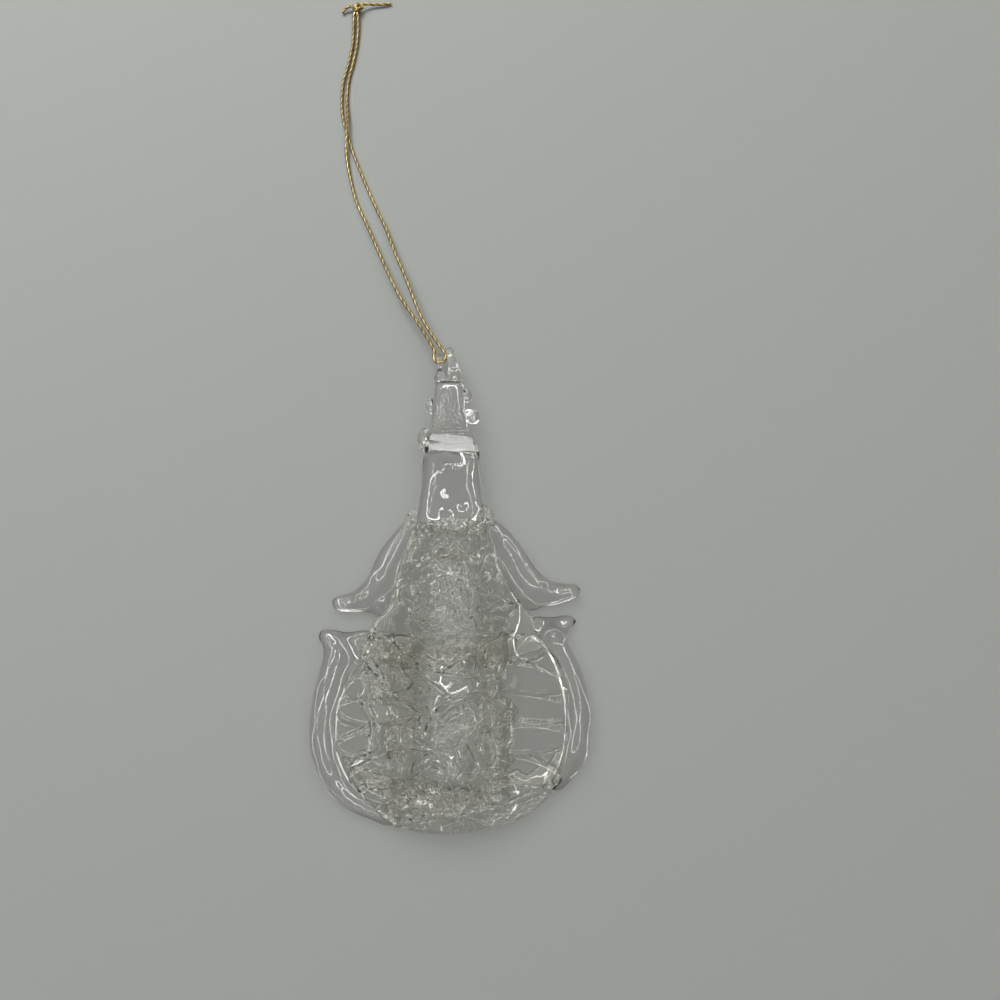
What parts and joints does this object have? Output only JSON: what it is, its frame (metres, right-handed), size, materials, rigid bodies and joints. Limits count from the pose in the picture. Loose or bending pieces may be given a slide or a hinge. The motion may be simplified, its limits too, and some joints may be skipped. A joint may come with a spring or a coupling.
{
  "type": "glass cello ornament",
  "caption": "Clear glass hanging ornament shaped like a cello, with a looped spun-glass body, bent rod sides, a peg box with blobs, and a knotted gold thread loop.",
  "frame": {"origin": "on the surface that the ornament lies on, under the middle of the glass", "axes": "+Z from the back to the front of the cello, +Y from the foot of the body to the head, +X to the right seen from the front"},
  "size_m": [0.0614, 0.226, 0.0117],
  "materials": {
    "clear_glass": "clear fire-polished glass",
    "spun_glass": "looped and fused clear glass thread",
    "gold_thread": "twisted metallic gold thread"
  },
  "bodies": {
    "glass": {"neck": "clear_glass", "collar": "clear_glass", "peg_box": "clear_glass", "scroll_rod": "clear_glass", "cord_eye": "clear_glass", "left_upper_peg": "clear_glass", "left_lower_peg": "clear_glass", "right_upper_peg": "clear_glass", "right_lower_peg": "clear_glass", "upper_left_bout": "clear_glass", "upper_right_bout": "clear_glass", "lower_left_bout": "clear_glass", "lower_right_bout": "clear_glass", "throat_lace_1": "spun_glass", "throat_lace_2": "spun_glass", "throat_lace_3": "spun_glass", "shoulder_lace": "spun_glass", "waist_lace": "spun_glass", "belly_lace_1": "spun_glass", "belly_lace_2": "spun_glass", "belly_lace_3": "spun_glass", "belly_lace_4": "spun_glass", "foot_lace": "spun_glass", "left_petal_lace": "spun_glass", "right_petal_lace": "spun_glass", "back_lace_1": "spun_glass", "back_lace_2": "spun_glass", "back_lace_3": "spun_glass", "back_lace_4": "spun_glass", "back_lace_5": "spun_glass"},
    "hanger": {"cord_bight": "gold_thread", "cord_left_strand": "gold_thread", "cord_right_strand": "gold_thread", "cord_knot": "gold_thread"}
  },
  "joints": [
    {"name": "hanger_swing", "type": "hinge", "parent": "glass", "child": "hanger", "pos_m": [-0.0022, 0.04927, 0.006], "axis": [1, 0, 0], "range_deg": [0, 150]}
  ]
}
